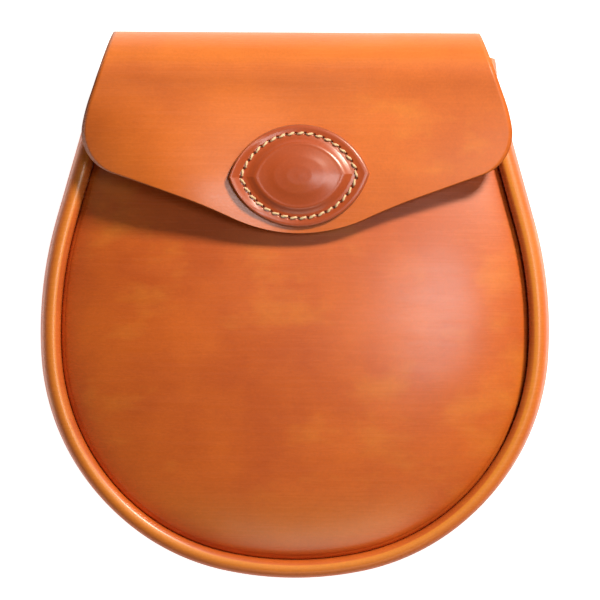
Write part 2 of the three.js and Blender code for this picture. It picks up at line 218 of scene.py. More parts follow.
# --- Outlines ------------------------------------------------------------------------------------
def along(x, y, heading, bend, run):
    """Points and headings at distances along one arc or straight."""
    turned = heading + bend * run
    if bend == 0:
        return np.stack([x + run * math.cos(heading), y + run * math.sin(heading), turned], 1)
    across = x + (np.sin(turned) - math.sin(heading)) / bend
    up = y - (np.cos(turned) - math.cos(heading)) / bend
    return np.stack([across, up, turned], 1)


def follow(start_y, table, lengths):
    """Points and headings at lengths along a table of arcs and straights, heading along +X."""
    x, y, heading, travelled = 0.0, start_y, 0.0, 0.0
    lengths = np.asarray(lengths, float)
    found = np.zeros((len(lengths), 3))
    for row in table:
        turn = math.radians(row.get("turn", 0.0))
        run = row.get("straight") or row["radius"] * abs(turn)
        ahead = lengths >= travelled
        found[ahead] = along(x, y, heading, turn / run, lengths[ahead] - travelled)
        x, y, heading = along(x, y, heading, turn / run, np.array([run]))[0]
        travelled += run
    return found


LENGTHS = np.linspace(0, 330, 6601)
FLAP_TRACE = follow(FLAP_TIP, FLAP_OUTLINE, LENGTHS)


def smooth(values, low, high):
    share = np.clip((values - low) / (high - low), 0, 1)
    return share * share * (3 - 2 * share)


def stations(lengths):
    """Places on the bag's outline at signed lengths from its lowest point, right side positive."""
    lengths = np.asarray(lengths, float)
    x, y, heading = follow(BOTTOM, BAG_OUTLINE, np.abs(lengths)).T
    level = smooth(y, LEVEL_FROM, LEVEL_TO)[:, None]
    inward = np.stack([-np.sin(heading), np.cos(heading)], 1)
    inward = inward * (1 - level) + np.array([-1.0, 0.0]) * level
    inward /= np.linalg.norm(inward, axis=1, keepdims=True)
    side = np.where(lengths < 0, -1.0, 1.0)
    bulge = SIDE_BULGE * np.sin(heading) ** 2
    return {"side": side, "x": x, "y": y, "bulge": bulge, "inward": inward}


def seam_points(lengths, sizes):
    """The line, seen from the front, where a panel's turned edge meets the gusset's."""
    at = stations(lengths)
    distance = at["bulge"] + 2 * sizes.roll_radius / MM + SEAM_GAP
    x = at["side"] * (at["x"] + distance * at["inward"][:, 0])
    return np.stack([x, at["y"] + distance * at["inward"][:, 1]], 1)


def seam_length_at(y, sizes):
    return np.interp(y, seam_points(LENGTHS, sizes)[:, 1], LENGTHS)


# --- Heights -------------------------------------------------------------------------------------
def front_crest(y):
    climb = np.clip((y - THINNING_START) / THINNING_LENGTH, 0, 1)
    return DEPTH - TOP_THINNING * climb ** 2


def dome_height(y):
    climb = np.clip((y - WIDEST) / (MOUTH - WIDEST), 0, 1)
    return (DOME_TOP - DEPTH) * (1 - climb ** 2) + MOUTH_HEIGHT * climb ** 2


def flap_underside(x, y, sizes):
    below = FOLD_CENTRE - y
    settled = below ** 2 / (below ** 2 + FLAP_LIFT_REACH ** 2)
    across = x / FLAP_SPAN
    fall = np.where(x < 0, sizes.left_fall / MM * across ** 4, FLAP_RIGHT_FALL * across ** 2)
    dip = np.exp(-((x - FLAP_VALLEY["x"]) / FLAP_VALLEY["width"]) ** 2)
    carried = np.where(x > FLAP_VALLEY["x"], dip + (1 - dip) * VALLEY_ON_RIGHT, dip)
    lift = FLAP_LIFT - fall - sizes.valley / MM * carried
    away = np.hypot(x - SWELL["x"], y - SWELL["y"]) / SWELL["reach"]
    swell = SWELL["height"] * np.exp(-0.5 * away ** 2) * settled
    return FOLD_AXIS + FOLD_RADIUS - sizes.leather / MM + settled * lift + swell


def flap_normal(x, y, sizes):
    step = 0.2
    slope_x = (flap_underside(x + step, y, sizes) - flap_underside(x - step, y, sizes)) / (2 * step)
    slope_y = (flap_underside(x, y + step, sizes) - flap_underside(x, y - step, sizes)) / (2 * step)
    normal = np.stack([-slope_x, -slope_y, np.ones_like(slope_x)], -1)
    return normal / np.linalg.norm(normal, axis=-1, keepdims=True)


def flap_lean(y):
    return FLAP_LEAN * (TOP - y) / (TOP - FLAP_TIP)


def flap_half_width(y):
    return np.interp(y, FLAP_TRACE[:, 1], FLAP_TRACE[:, 0])


def ripple(points, wavelength, height, seed):
    """Gentle unevenness of worked leather: a sum of a dozen waves in fixed directions."""
    draw = np.random.default_rng(seed)
    total = np.zeros(points.shape[:-1])
    waves = 12
    for _ in range(waves):
        direction = draw.normal(size=3)
        direction /= np.linalg.norm(direction)
        length = wavelength * draw.uniform(0.7, 1.6)
        total += np.sin(points @ direction * 2 * math.pi / length + draw.uniform(0, 2 * math.pi))
    return height * total / math.sqrt(waves)


# --- Leather sheets ------------------------------------------------------------------------------
def grid_faces(rows, columns, wrap=False):
    """Quads of a grid of points, numbered row by row."""
    across = columns if wrap else columns - 1
    i, j = np.meshgrid(np.arange(rows - 1), np.arange(across), indexing="ij")
    near = i * columns + j
    beside = i * columns + (j + 1) % columns
    return np.stack([near, near + columns, beside + columns, beside], -1).reshape(-1, 4)


def merged(grids):
    """Joins grids of (outer, inner, faces, marks) into one set of shared points."""
    outer = np.concatenate([g["outer"].reshape(-1, 3) for g in grids])
    inner = np.concatenate([g["inner"].reshape(-1, 3) for g in grids])
    marks = np.concatenate([g["mark"].reshape(-1) for g in grids])
    matts = np.concatenate([(g.get("matt", 0) + 0 * g["mark"]).reshape(-1) for g in grids])
    faces, start = [], 0
    for g in grids:
        faces.append(g["faces"] + start)
        start += g["outer"].reshape(-1, 3).shape[0]
    faces = np.concatenate(faces)
    _, first, shared = np.unique(np.round(outer, 3), axis=0, return_index=True, return_inverse=True)
    shared = shared.reshape(-1)
    clean = []
    for face in shared[faces]:
        corners = [c for k, c in enumerate(face) if c != face[k - 1]]
        if len(set(corners)) >= 3 and len(set(corners)) == len(corners):
            clean.append(corners)
    # Per point: tone shifts, which carry painted light and painted shade as well as the flap's
    # tone, and matt shares.
    return outer[first], inner[first], {"tone_and_painted_light": marks[first], "matt": matts[first]}, clean


# The cut edge is burnished round: how far it stands out at shares of the leather's thickness.
EDGE_ROUND = ((0.14, 0.20), (0.5, 0.30), (0.86, 0.20))
GRAIN, FLESH, EDGE = 0, 1, 2


def leather_object(name, grids, materials):
    """One closed piece of leather: grain face, flesh face and rounded cut edges between them."""
    outer, inner, marks, faces = merged(grids)
    count = len(outer)
    edges = {}
    for face in faces:
        for a, b in zip(face, face[1:] + face[:1]):
            edges[(a, b)] = edges.get((a, b), 0) + 1
    border = [(a, b) for a, b in edges if (b, a) not in edges]
    points = [outer, inner]
    out_of_edge = np.zeros((count, 3))
    for a, b in border:
        away = np.cross(outer[b] - outer[a], outer[a] - inner[a])
        away /= max(np.linalg.norm(away), 1e-9)
        out_of_edge[a] += away
        out_of_edge[b] += away
    rim = sorted({a for edge in border for a in edge})
    place = {a: k for k, a in enumerate(rim)}
    lengths = np.linalg.norm(out_of_edge[rim], axis=1, keepdims=True)
    direction = out_of_edge[rim] / np.maximum(lengths, 1e-9)
    for share, stand in EDGE_ROUND:
        points.append(outer[rim] * (1 - share) + inner[rim] * share + stand * direction)
    everything = np.concatenate(points) * MM
    polygons = [list(face) for face in faces]
    polygons += [[a + count for a in reversed(face)] for face in faces]
    kinds = [GRAIN] * len(faces) + [FLESH] * len(faces)
    levels = [lambda a: a]
    for level in range(len(EDGE_ROUND)):
        levels.append(lambda a, level=level: 2 * count + level * len(rim) + place[a])
    levels.append(lambda a: a + count)
    for a, b in border:
        for upper, lower in zip(levels, levels[1:]):
            polygons.append([upper(b), upper(a), lower(a), lower(b)])
            kinds.append(EDGE)
    mesh = bpy.data.meshes.new(name)
    mesh.from_pydata(everything.tolist(), [], polygons)
    mesh.polygons.foreach_set("material_index", kinds)
    mesh.polygons.foreach_set("use_smooth", [True] * len(polygons))
    for key, values in marks.items():
        made = mesh.attributes.new(key, "FLOAT", "POINT")
        on_edges = [values[rim]] * len(EDGE_ROUND)
        made.data.foreach_set("value", np.concatenate([values, values, *on_edges]))
    mesh.validate()
    mesh.update()
    turn_outward(mesh)
    return finished(name, mesh, materials)


def turn_outward(mesh):
    """Flips every face if the closed mesh is inside out."""
    mesh.calc_loop_triangles()
    corners = np.empty(len(mesh.loop_triangles) * 3, int)
    mesh.loop_triangles.foreach_get("vertices", corners)
    points = np.empty(len(mesh.vertices) * 3)
    mesh.vertices.foreach_get("co", points)
    a, b, c = np.swapaxes(points.reshape(-1, 3)[corners.reshape(-1, 3)], 0, 1)
    if np.einsum("ij,ij->i", a, np.cross(b, c)).sum() < 0:
        mesh.flip_normals()


def finished(name, mesh, materials):
    """Links a mesh as an object that rides on the pouch."""
    made = bpy.data.objects.new(name, mesh)
    bpy.context.scene.collection.objects.link(made)
    for material in materials:
        mesh.materials.append(material)
    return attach(made, "root")


def offset(d, z, thickness, level_end=True):
    """The second face of bent sections given as (stations, points) arrays of place and height."""
    along_d = np.gradient(d, axis=1)
    along_z = np.gradient(z, axis=1)
    if level_end:
        along_d[:, -1], along_z[:, -1] = 1.0, 0.0
    size = np.hypot(along_d, along_z)
    return d + along_z / size * thickness, z - along_d / size * thickness


def panel_grid(top, count, shares, section, thickness, sizes):
    """Sections of a sewn-in panel from its seam to its spine, for stations round the seam."""
    reach = seam_length_at(top, sizes)
    seam = seam_points(np.linspace(-reach, reach, count), sizes)
    spine_y = WIDEST + SPINE_BLEND * np.logaddexp(0, (seam[:, 1] - WIDEST) / SPINE_BLEND)
    run = np.stack([-seam[:, 0], spine_y - seam[:, 1]], 1)
    width = np.linalg.norm(run, axis=1, keepdims=True)
    direction = run / width
    d, z = section(width, seam[:, 1:], direction[:, 1:], shares)
    far_d, far_z = offset(d, z, thickness)

    def place(d, z):
        x = seam[:, :1] + d * direction[:, :1]
        y = seam[:, 1:] + d * direction[:, 1:]
        x[:, -1] = 0.0
        return np.stack([x, y, z], -1)

    # Painted shade: the dye darkens along the seam groove, fading over a few millimetres.
    mark = 0.4 * np.exp(-((d - 1.0) / 5.0) ** 2)
    return {"outer": place(d, z), "inner": place(far_d, far_z), "mark": mark,
            "faces": grid_faces(count, d.shape[1])}


def front_section(width, seam_y, slope, shares):
    """Up out of the seam, round the turned edge's bend, and across the dome."""
    angle = np.radians(np.linspace(0, PANEL_BEND_TURN, 9))[None]
    bend_d = PANEL_BEND * (1 - np.cos(angle)) + 0 * width
    bend_z = PANEL_BEND * (np.sin(angle) - np.sin(angle[:, -1:]))
    start = bend_d[:, -1:]
    across = start + shares[None, 1:] * (width - start)
    d = np.concatenate([np.zeros((len(width), 4)), bend_d, across], 1)
    y = seam_y + d * slope
    base = front_crest(y) - SEAM_GROOVE
    flat = (1 - (1 - shares[1:]) ** DOME_FLATNESS) ** (1 / DOME_SHOULDER)
    edge = np.linspace(SEAM_GROOVE - PANEL_EDGE, bend_z[0, 0], 5)[None, :-1] + 0 * width
    rise = (SEAM_GROOVE + dome_height(y[:, 13:])) * flat
    return d, base + np.concatenate([edge, bend_z + 0 * width, rise], 1)


def back_section(width, seam_y, slope, shares):
    angle = np.radians(np.linspace(0, 90, 9))
    bend_d = BACK_BEND * (1 - np.cos(angle))
    bend_z = BACK_FACE + BACK_BEND * (1 - np.sin(angle))
    rim_z = np.linspace(BACK_FACE + BACK_RIM, BACK_FACE + BACK_BEND, 5)[:-1]
    start = np.concatenate([np.zeros(4), bend_d])
    flat = BACK_BEND + shares[None, 1:] * (width - BACK_BEND)
    d = np.concatenate([np.repeat(start[None], len(width), 0), flat], 1)
    z = np.concatenate([rim_z, bend_z, np.full(len(shares) - 1, BACK_FACE)])
    return d, np.repeat(z[None], len(width), 0)


# --- Finishes ------------------------------------------------------------------------------------
def add(tree, kind, inputs=(), **settings):
    """Adds a node with its settings; each input is a value or another node's output socket."""
    made = tree.nodes.new(kind)
    for key, value in settings.items():
        setattr(made, key, value)
    for key, value in dict(inputs).items():
        if isinstance(value, NodeSocket):
            tree.links.new(value, made.inputs[key])
        else:
            made.inputs[key].default_value = value
    return made


def new_material(name):
    material = bpy.data.materials.new(name)
    material.use_nodes = True
    material.node_tree.nodes.clear()
    return material, material.node_tree


def per_mm(size):
    """Noise scale, per metre, that gives features of this size in millimetres."""
    return 1 / (size * MM)


def noise(tree, vector, size, detail, roughness=0.5):
    return add(tree, "ShaderNodeTexNoise", {"Vector": vector, "Scale": size, "Detail": detail,
                                            "Roughness": roughness}).outputs["Fac"]


def spread(tree, fac, low, high, span=(0.3, 0.7)):
    """Maps a span of values, clamped, onto low to high."""
    return add(tree, "ShaderNodeMapRange",
               {"Value": fac, "From Min": span[0], "From Max": span[1],
                "To Min": low, "To Max": high}).outputs["Result"]


def combine(tree, a, b, operation="MULTIPLY"):
    return add(tree, "ShaderNodeMath", {0: a, 1: b}, operation=operation).outputs[0]


def blend(tree, share, a, b):
    return add(tree, "ShaderNodeMix", {0: share, 6: a, 7: b}, data_type="RGBA").outputs[2]


def stretched(tree, place, sizes):
    """Coordinates whose unit is the given millimetres along each axis."""
    return add(tree, "ShaderNodeMapping",
               {"Vector": place, "Scale": tuple(per_mm(size) for size in sizes)}).outputs[0]


def shaded(tree, inputs):
    shader = add(tree, "ShaderNodeBsdfPrincipled", inputs)
    add(tree, "ShaderNodeOutputMaterial", {"Surface": shader.outputs[0]})


def grain_leather(name, tone, shade, roughness, coat, coat_roughness, streak=0.0, pits=False):
    """Vegetable-tanned leather, wax-finished and hand-burnished.

    The eye gets a warm dye that clouds over a few centimetres with amber where it took lightly,
    fine pores, faint rubbing lines across the piece, painted shade along the seams and in the
    stitch holes, painted light in amber on the roll crests, the lower front panel and the fold,
    and a broad soft sheen that is stronger where the wax is thicker.
    """
    material, tree = new_material(name)
    place = add(tree, "ShaderNodeTexCoord").outputs["Object"]
    cloud = noise(tree, place, per_mm(42), 5.0, 0.62)
    dye = blend(tree, spread(tree, cloud, 0.0, 1.0, (0.36, 0.66)), shade, tone)
    shifted = add(tree, "ShaderNodeMapping", {"Vector": place, "Location": (0.31, 0.17, 0.05),
                                              "Scale": (0.6, 1.0, 1.0)}).outputs[0]
    # Amber: clouds where the dye took lightly, and wherever the attribute is negative: a painted
    # highlight on the roll crests, painted light on the lower front panel, pull-up and painted
    # light over the fold, and the flap's lighter tone.
    amber = spread(tree, noise(tree, shifted, per_mm(26), 4.0, 0.6), 0.0, 0.5 * streak,
                   (0.52, 0.74))
    tone_and_painted_light = add(tree, "ShaderNodeAttribute", attribute_name="tone_and_painted_light").outputs["Fac"]
    amber = combine(tree, amber, spread(tree, tone_and_painted_light, 0.9, 0.0, (-1.0, 0.0)), "MAXIMUM")
    dye = blend(tree, amber, dye, linear(AMBER))
    # Rubbing lines run across the piece: long in X, about a millimetre apart in Y.
    lines = noise(tree, stretched(tree, place, (34, 1.3, 8)), 1.0, 3.0, 0.6)
    pores = noise(tree, place, per_mm(0.9), 4.0, 0.7)
    # Where the attribute is positive the dye darkens: painted shade in the seam grooves and the
    # stitch holes.
    painted_shade = spread(tree, tone_and_painted_light, 1.0, 0.35 if pits else 0.82, (0.0, 1.0))
    value = combine(tree, combine(tree, spread(tree, pores, 0.92, 1.06), painted_shade),
                    spread(tree, lines, 1 - 0.01 * streak, 1 + 0.01 * streak))
    toned = add(tree, "ShaderNodeVectorMath", {0: dye, "Scale": value}, operation="SCALE")
    # Fine pores and the creases between them, drawn a little coarser than the hide's so they show.
    cells = add(tree, "ShaderNodeTexVoronoi", {"Vector": place, "Scale": per_mm(1.3)},
                feature="DISTANCE_TO_EDGE")
    normal = None
    for height, strength, depth in (
            (spread(tree, cells.outputs["Distance"], 0.0, 1.0, (0.0, 0.12)), 0.05, 0.06),
            (pores, 0.16, 0.12),
            (lines, 0.07 * streak, 0.10)):
        inputs = {"Height": height, "Strength": strength, "Distance": depth * MM}
        if normal is not None:
            inputs["Normal"] = normal
        normal = add(tree, "ShaderNodeBump", inputs).outputs[0]
    # The wax sheen is uneven, and handled away where "matt" is high.
    wax = spread(tree, noise(tree, shifted, per_mm(38), 3.0, 0.6), coat * 0.75, coat * 1.15)
    matt = add(tree, "ShaderNodeAttribute", attribute_name="matt").outputs["Fac"]
    wax = combine(tree, wax, spread(tree, matt, 1.0, 0.0, (0.0, 1.0)))
    shaded(tree, {
        "Base Color": toned.outputs[0], "Normal": normal, "IOR": 1.5, "Specular IOR Level": 0.35,
        "Roughness": spread(tree, lines, roughness - 0.05 * streak, roughness + 0.05 * streak),
        "Coat Weight": wax, "Coat IOR": 1.5,
        "Coat Roughness": spread(tree, lines, coat_roughness - 0.025 * streak,
                                 coat_roughness + 0.025 * streak)})
    return material


def fibrous(name, tone, grain, values, bump, surface, unit=None, cloud=None):
    """A fibrous finish: noise of one grain varies the tone and raises the surface.

    grain is (size in mm, detail, roughness), or with unit, (scale, detail, roughness) of noise
    stretched to those millimetres; values are the darkest and lightest tone; bump is (strength,
    depth in mm); cloud is (size in mm, detail, darkest, lightest) of broader patches.
    """
    material, tree = new_material(name)
    place = add(tree, "ShaderNodeTexCoord").outputs["Object"]
    size, detail, roughness = grain
    if unit:
        fibre = noise(tree, stretched(tree, place, unit), size, detail, roughness)
    else:
        fibre = noise(tree, place, per_mm(size), detail, roughness)
    value = spread(tree, fibre, *values)
    if cloud:
        patches = noise(tree, place, per_mm(cloud[0]), cloud[1])
        value = combine(tree, value, spread(tree, patches, cloud[2], cloud[3]))
    toned = add(tree, "ShaderNodeVectorMath", {0: tone[:3], "Scale": value}, operation="SCALE")
    raised = add(tree, "ShaderNodeBump",
                 {"Height": fibre, "Strength": bump[0], "Distance": bump[1] * MM})
    shaded(tree, {"Base Color": toned.outputs[0], "Normal": raised.outputs[0], **surface})
    return material


def flesh_leather(name, tone):
    """The unfinished flesh side: pale, matt and fibrous, with short loose nap."""
    return fibrous(name, tone, (0.8, 6.0, 0.75), (0.78, 1.1), (0.5, 0.25),
                   {"Roughness": 0.92, "Specular IOR Level": 0.25, "Sheen Weight": 0.25,
                    "Sheen Roughness": 0.6}, cloud=(14, 3.0, 0.88, 1.06))


def burnished_edge(name, tone):
    """A cut edge rubbed round with wax: darker than the face, with layers of fibre showing."""
    return fibrous(name, tone, (1.0, 4.0, 0.6), (0.72, 1.12), (0.25, 0.12),
                   {"Roughness": 0.42, "Specular IOR Level": 0.5, "Coat Weight": 0.2,
                    "Coat Roughness": 0.3}, unit=(5, 5, 0.5))


def waxed_linen(name, tone):
    """Waxed linen thread: cream, two plies laid up with a twist, slightly fuzzy and satin."""
    return fibrous(name, tone, (0.35, 4.0, 0.7), (0.8, 1.08), (0.4, 0.08),
                   {"Roughness": 0.6, "Sheen Weight": 0.2})


def satin_brass(name):
    """Pressed brass, satin: a yellow metal with dull spots of handling."""
    material, tree = new_material(name)
    place = add(tree, "ShaderNodeTexCoord").outputs["Object"]
    dull = spread(tree, noise(tree, place, per_mm(3), 4.0), 0.28, 0.45)
    shaded(tree, {"Base Color": linear("#c9a35a"), "Metallic": 1.0, "Roughness": dull})
    return material


def leather_set(kind="tan"):
    """Grain, flesh and edge materials of one leather, made once and shared."""
    colours = bpy.context.scene.sporran_colours
    known = bpy.data.materials.get
    if kind == "tan":
        name = "tan_leather_waxed"
        grain = known(name) or grain_leather(
            name, tuple(colours.tan), tuple(colours.tan_dark), 0.50, 1.0, 0.27, streak=1.0)
    else:
        name = "patch_leather_polished"
        grain = known(name) or grain_leather(
            name, tuple(colours.patch), tuple(colours.patch), 0.40, 1.0, 0.26, streak=0.2,
            pits=True)
    flesh = known("leather_flesh_side") or flesh_leather("leather_flesh_side", tuple(colours.flesh))
    edge = known("leather_cut_edge") or burnished_edge("leather_cut_edge", tuple(colours.edge))
    return [grain, flesh, edge]


# --- Stitches ------------------------------------------------------------------------------------
def thread_stitches(name, stitches, diameter):
    """Short arched threads as one mesh. Each stitch has two ends, an up direction and a rise."""
    sides, steps = 10, 12
    points, faces = [], []
    for start, end, up, rise in stitches:
        base = len(points)
        run = end - start
        length = np.linalg.norm(run)
        forward = run / length
        across = np.cross(up, forward)
        for k in range(steps + 1):
            share = k / steps
            arch = math.sin(math.pi * share) ** 0.45
            centre = start + run * share + up * (rise * arch - diameter * 0.55 * (1 - arch))
            # Two plies with a twist, pulled thin where the thread enters its hole.
            thin = 0.62 + 0.38 * math.sin(math.pi * share) ** 0.5
            for s in range(sides):
                angle = 2 * math.pi * s / sides
                plies = 1 + 0.16 * math.cos(2 * (angle - 5.0 * share))
                radius = diameter / 2 * thin * plies
                points.append(centre + radius * (across * math.cos(angle) + up * math.sin(angle)))
        for k in range(steps):
            for s in range(sides):
                a = base + k * sides + s
                b = base + k * sides + (s + 1) % sides
                faces.append([a, b, b + sides, a + sides])
        faces.append([base + s for s in reversed(range(sides))])
        faces.append([base + steps * sides + s for s in range(sides)])
    mesh = bpy.data.meshes.new(name)
    mesh.from_pydata((np.array(points) * MM).tolist(), [], faces)
    mesh.polygons.foreach_set("use_smooth", [True] * len(faces))
    mesh.update()
    turn_outward(mesh)
    thread = bpy.data.materials.get("linen_thread_waxed") or waxed_linen(
        "linen_thread_waxed", tuple(bpy.context.scene.sporran_colours.thread))
    made = finished(name, mesh, [thread])
    return made


# --- The pieces ----------------------------------------------------------------------------------
def make_back_and_flap(sizes):
    """Back panel, fold and flap, one piece of leather joined along a row below the fold."""
    leather = sizes.leather / MM
    shares = np.linspace(0, 1, 46)
    back = panel_grid(BACK_SEAM_TOP, 241, shares, back_section, -leather, sizes)
    # The neck goes on from the flat part of the back, a few millimetres inside its turned edge.
    top_row = back["outer"][-1]
    flat_from = int(np.argmax(top_row[:, 0] <= NECK_HALF))
    right = top_row[flat_from:, 0]
    share = np.concatenate([-right, right[-2::-1]]) / right[0]
    outer, inner = [], []
    for y in (BACK_SEAM_TOP, (BACK_SEAM_TOP + FOLD_CENTRE) / 2):
        line = np.stack([share * right[0], np.full_like(share, y)], 1)
        outer.append(np.column_stack([line, np.full_like(share, BACK_FACE)]))
        inner.append(np.column_stack([line, np.full_like(share, BACK_FACE + leather)]))
    # Round the fold, from the back's level at -90 degrees to the flap's at +90.
    for angle in np.arange(-90, 90, FOLD_STEP):
        cos, sin = math.cos(math.radians(angle)), math.sin(math.radians(angle))
        edge = FOLD_CENTRE + FOLD_RADIUS * cos
        half = right[0] if angle <= NECK_END else float(flap_half_width(TOP))
        lean = 0.0
        if angle > 0:
            half, lean = float(flap_half_width(edge)), flap_lean(edge)
        for faces, radius in ((outer, FOLD_RADIUS), (inner, FOLD_RADIUS - leather)):
            y = np.full_like(share, FOLD_CENTRE + radius * cos)
            z = np.full_like(share, FOLD_AXIS + radius * sin)
            faces.append(np.column_stack([lean + share * half, y, z]))
    reach = np.interp(FOLD_CENTRE, FLAP_TRACE[:, 1], LENGTHS)
    trace = follow(FLAP_TIP, FLAP_OUTLINE, np.linspace(reach, 0, 150))
    for half, y, _ in trace:
        x = flap_lean(y) + share * half
        y = np.full_like(x, y)
        under = np.column_stack([x, y, flap_underside(x, y, sizes)])
        inner.append(under)
        outer.append(under + leather * flap_normal(x, y, sizes))
    flap = {"outer": np.array(outer), "inner": np.array(inner)}
    # The dye is a little lighter on the flap. Over the fold it turns amber, partly the pull-up of
    # bent leather and partly painted light where the fold faces the lamps.
    over_fold = smooth(flap["outer"][..., 1], 84, 90) * (flap["outer"][..., 2] > FOLD_AXIS)
    flap["mark"] = -0.16 * (flap["outer"][..., 2] > FOLD_AXIS) - 0.16 * over_fold
    # The wax sheen is handled away over the fold and towards the flap's right corner.
    on_right = smooth(flap["outer"][..., 0], 8, 40)
    flap["matt"] = np.maximum(0.7 * over_fold, 0.85 * on_right)
    flap["faces"] = grid_faces(len(outer), len(share))[:, ::-1]
    for grid in (back, flap):
        wave = ripple(grid["outer"], 46, 0.10, 3)
        wave *= smooth(np.abs(grid["outer"][..., 1] - BACK_SEAM_TOP), 0, 8)
        for key in ("outer", "inner"):
            grid[key][..., 2] += wave
    made = leather_object("back_and_flap_leather", [back, flap], leather_set())
    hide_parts("back_and_flap")


def make_front_panel(sizes):
    shares = np.linspace(0, 1, 64) ** 2.0
    panel = panel_grid(MOUTH, 261, shares, front_section, sizes.leather / MM, sizes)
    wave = ripple(panel["outer"], 60, 0.16, 5)
    centre = smooth(panel["outer"][..., 2], DEPTH - SEAM_GROOVE, DEPTH + 2)
    for key in ("outer", "inner"):
        panel[key][..., 2] += wave * centre
    # Painted light: the dye is lightened to amber just above the lowest stretch of seam, standing
    # in for light from below, and the painted seam shade is left out there.
    low = smooth(-panel["outer"][..., 1], 62, 84)
    inside = smooth(panel["outer"][..., 2], DEPTH - SEAM_GROOVE, DEPTH - 1)
    panel["mark"] = np.maximum(panel["mark"], 0) * (1 - low) - 0.4 * low * inside
    made = leather_object("front_panel_leather", [panel], leather_set())
    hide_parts("front_panel")


def make_gusset(sizes):
    leather = sizes.gusset_leather / MM
    radius = sizes.roll_radius / MM
    reach = np.interp(GUSSET_TOP, follow(BOTTOM, BAG_OUTLINE, LENGTHS)[:, 1], LENGTHS)
    lengths = np.linspace(-reach, reach, 521)
    at = stations(lengths)
    bend = radius - leather
    centre = (at["bulge"] + radius)[:, None]
    front = (front_crest(at["y"]) - radius)[:, None]
    angle = np.linspace(0, math.pi, 17)[None]
    flange = np.linspace(1, 0, 5)[None, :-1] * SEAM_ALLOWANCE
    share = np.linspace(0, 1, 15)[None, 1:-1]
    bulge = at["bulge"][:, None]
    d = np.concatenate([
        centre + bend + 0 * flange,
        centre + bend * np.cos(angle),
        leather + bulge * (1 - np.sin(math.pi * share)),
        centre - bend * np.cos(angle),
        centre + bend + 0 * flange,
    ], 1)
    z = np.concatenate([
        front - flange,
        front + bend * np.sin(angle),
        front + (radius - front) * share,
        radius - bend * np.sin(angle) + 0 * centre,
        radius + flange[:, ::-1] + 0 * centre,
    ], 1)
    far_d, far_z = offset(d, z, leather, level_end=False)
    flare = CORNER_FLARE * smooth(at["y"], FLARE_START, GUSSET_TOP)
    flare = np.where(at["side"] > 0, flare, 0)[:, None]

    def place(d, z):
        x = at["side"][:, None] * (at["x"][:, None] + flare + d * at["inward"][:, :1])
        y = at["y"][:, None] + d * at["inward"][:, 1:]
        return np.stack([x, y, z], -1)

    # Painted shade darkens the roll's inner flank down into the seam groove; a painted highlight
    # lightens the inner side of the crest on the front roll.
    mark = np.clip((far_d - (centre + radius * 0.45)) / (radius * 0.6), 0, 1)
    past_crest = (far_d - centre - radius * 0.25) / (radius * 0.7)
    painted_crest_highlight = np.exp(-past_crest ** 2) * (far_z > DEPTH / 2)
    mark = np.where(mark > 0, mark, -0.9 * painted_crest_highlight)
    strip = {"outer": place(far_d, far_z), "inner": place(d, z), "mark": mark,
             "matt": 0.3 + 0.6 * smooth(centre - far_d, 0, radius),
             "faces": grid_faces(len(lengths), d.shape[1])}
    made = leather_object("gusset_leather", [strip], leather_set())
    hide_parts("gusset")


def patch_outline(count):
    """Points round the pointed oval, two arcs meeting left and right, evenly spaced."""
    half_length, half_height = PATCH["length"] / 2, PATCH["height"] / 2
    radius = (half_length ** 2 + half_height ** 2) / PATCH["height"]
    sweep = math.asin(half_length / radius)
    angles = np.linspace(-sweep, sweep, count // 2, endpoint=False)
    upper = np.stack([radius * np.sin(angles), radius * np.cos(angles) - radius + half_height], 1)
    ring = np.concatenate([upper, -upper])
    turn = math.radians(PATCH["turn"])
    spin = np.array([[math.cos(turn), -math.sin(turn)], [math.sin(turn), math.cos(turn)]])
    return ring @ spin.T


# Height of the patch above the flap at scales of its outline, from its edge to its middle.
PATCH_RELIEF = (
    {"scale": 0.00, "height": 4.9},
    {"scale": 0.20, "height": 4.75},
    {"scale": 0.40, "height": 4.2},
    {"scale": 0.55, "height": 3.45},
    {"scale": 0.60, "height": 3.2},
    {"scale": 0.63, "height": 3.15},
    {"scale": 0.66, "height": 2.9},
    {"scale": 0.71, "height": 2.2},
    {"scale": 0.76, "height": 1.65},
    {"scale": 0.81, "height": 1.4},
    {"scale": 0.87, "height": 1.4},
    {"scale": 0.94, "height": 1.6},
    {"scale": 0.985, "height": 1.5},
    {"scale": 1.00, "height": 1.2},
)
STITCH_SCALE = 0.84             # the stitch line's share of the outline
STITCH_SLANT = 0.5              # each end's step out of the line
STITCH_INSET = 0.11             # share of a stitch left bare at each end
PIT_DEPTH = 0.6
BOSS_SCALE = 0.62
CURL_HEIGHT = 1.4


def patch_seat(x, y, sizes):
    return flap_underside(x, y, sizes) + sizes.leather / MM / flap_normal(x, y, sizes)[..., 2]


